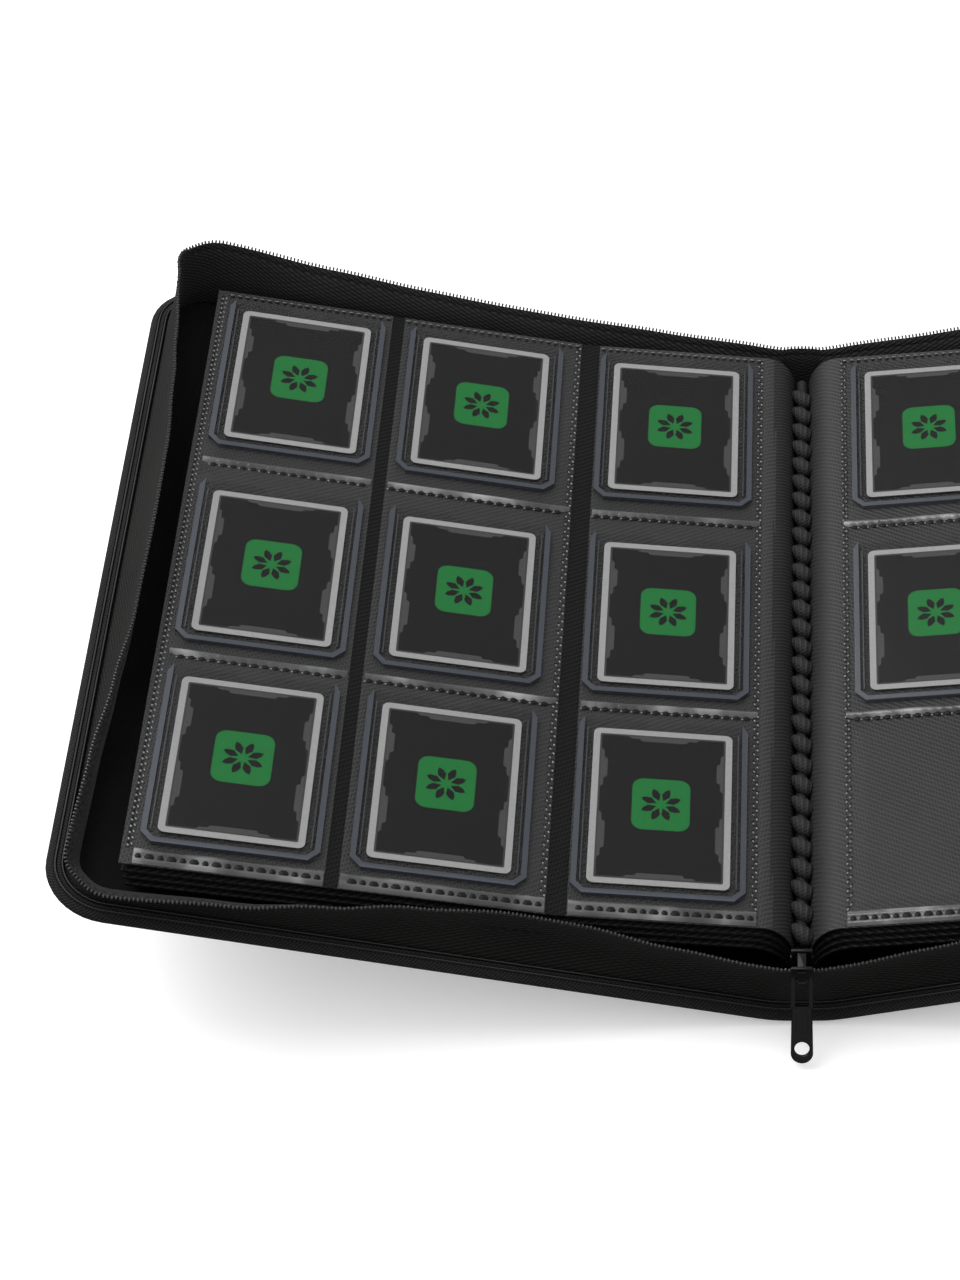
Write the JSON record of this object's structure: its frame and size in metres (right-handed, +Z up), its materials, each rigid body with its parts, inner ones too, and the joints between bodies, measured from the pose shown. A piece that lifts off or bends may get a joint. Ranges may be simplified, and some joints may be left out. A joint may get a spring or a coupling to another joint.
{
  "type": "card binder",
  "caption": "Zip-round card binder open in a shallow V: padded covers with gusset walls, pocket pages of rigid sleeves, and a zip slider with a pierced puller.",
  "frame": {"origin": "middle of the flat on the spine's outer face that the open case rests on", "axes": "+X across the open case to the right, +Y along the spine to its rear end, +Z up"},
  "size_m": [0.649, 0.4171, 0.112],
  "materials": {
    "cover_cloth": "woven twill, black",
    "padded_board": "foam over board",
    "lining_cloth": "smooth black lining",
    "gusset_cloth": "ribbed black-brown cloth",
    "zip_tape": "woven tape",
    "zip_teeth": "moulded coil",
    "black_metal": "gloss black",
    "binding_cloth": "plaited strip",
    "page_sheet": "embossed charcoal sheet",
    "clear_film": "clear embossed film",
    "clear_sleeve": "clear rigid sleeve",
    "card": "printed card"
  },
  "bodies": {
    "spine": {"binding_cord": "binding_cloth", "left_end_fold_front": "gusset_cloth", "left_end_fold_rear": "gusset_cloth", "left_hinge_strip": "cover_cloth", "right_end_fold_front": "gusset_cloth", "right_end_fold_rear": "gusset_cloth", "right_hinge_strip": "cover_cloth", "spine_board": "padded_board", "spine_end_front": "gusset_cloth", "spine_end_rear": "gusset_cloth", "spine_lining": "lining_cloth", "spine_skin": "cover_cloth"},
    "left_cover": {"left_cover_board": "padded_board", "left_cover_lining": "lining_cloth", "left_cover_skin": "cover_cloth", "left_gusset_front": "gusset_cloth", "left_gusset_rear": "gusset_cloth", "left_gusset_side": "gusset_cloth", "left_zip_tape": "zip_tape", "left_zip_teeth": "zip_teeth"},
    "right_cover": {"right_cover_board": "padded_board", "right_cover_lining": "lining_cloth", "right_cover_skin": "cover_cloth", "right_gusset_front": "gusset_cloth", "right_gusset_rear": "gusset_cloth", "right_gusset_side": "gusset_cloth", "right_zip_tape": "zip_tape", "right_zip_teeth": "zip_teeth"},
    "left_pages": {"left_gutter_strips": "page_sheet", "left_leaf_2": "page_sheet", "left_leaf_3": "page_sheet", "left_leaf_4": "page_sheet"},
    "right_pages": {"right_cards": "card", "right_gutter_strips": "page_sheet", "right_leaf_1": "page_sheet", "right_leaf_2": "page_sheet", "right_leaf_3": "page_sheet", "right_leaf_4": "page_sheet", "right_pocket_films": "clear_film", "right_toploaders_row_1": "clear_sleeve", "right_toploaders_row_2": "clear_sleeve"},
    "left_top_leaf": {"left_cards_column_1": "card", "left_cards_column_2": "card", "left_cards_column_3": "card", "left_gutter_leaf_1": "page_sheet", "left_leaf_1": "page_sheet", "left_pocket_films": "clear_film", "left_toploader_1_1": "clear_sleeve", "left_toploader_1_2": "clear_sleeve", "left_toploader_1_3": "clear_sleeve", "left_toploader_2_1": "clear_sleeve", "left_toploader_2_2": "clear_sleeve", "left_toploader_2_3": "clear_sleeve", "left_toploader_3_1": "clear_sleeve", "left_toploader_3_2": "clear_sleeve", "left_toploader_3_3": "clear_sleeve"},
    "zip_slider": {"zip_slider": "black_metal"},
    "zip_puller": {"zip_puller": "black_metal"}
  },
  "joints": [
    {"name": "left_cover_hinge", "type": "hinge", "parent": "spine", "child": "left_cover", "pos_m": [-0.0375, 0, 0.00645], "axis": [0, 1, 0], "range_deg": [-14.2, 75.8], "deforming": ["left_hinge_strip", "left_end_fold_front", "left_end_fold_rear"]},
    {"name": "right_cover_hinge", "type": "hinge", "parent": "spine", "child": "right_cover", "pos_m": [0.0375, 0, 0.00645], "axis": [0, -1, 0], "range_deg": [-14.2, 75.8], "deforming": ["right_hinge_strip", "right_end_fold_front", "right_end_fold_rear"]},
    {"name": "left_pages_hinge", "type": "hinge", "parent": "spine", "child": "left_pages", "pos_m": [-0.035, 0, 0.021], "axis": [0, 1, 0], "range_deg": [-14.7, 78.2], "deforming": ["left_gutter_strips"]},
    {"name": "right_pages_hinge", "type": "hinge", "parent": "spine", "child": "right_pages", "pos_m": [0.035, 0, 0.021], "axis": [0, -1, 0], "range_deg": [-14.7, 78.2], "deforming": ["right_gutter_strips"]},
    {"name": "leaf_turn", "type": "hinge", "parent": "left_pages", "child": "left_top_leaf", "pos_m": [0, 0, 0.048], "axis": [0, -1, 0], "range_deg": [-160, 0], "deforming": ["left_gutter_leaf_1"]},
    {"name": "slider_slide", "type": "slide", "parent": "spine", "child": "zip_slider", "axis": [0, 0, 1], "range_m": [0, 0.225]},
    {"name": "puller_hinge", "type": "hinge", "parent": "zip_slider", "child": "zip_puller", "pos_m": [0, -0.1994, 0.0385], "axis": [-1, 0, 0], "range_deg": [0, 150]}
  ],
  "couplings": [
    {"joint": "left_pages_hinge", "follows": "left_cover_hinge", "ratio": 1.03},
    {"joint": "right_pages_hinge", "follows": "right_cover_hinge", "ratio": 1.03}
  ]
}
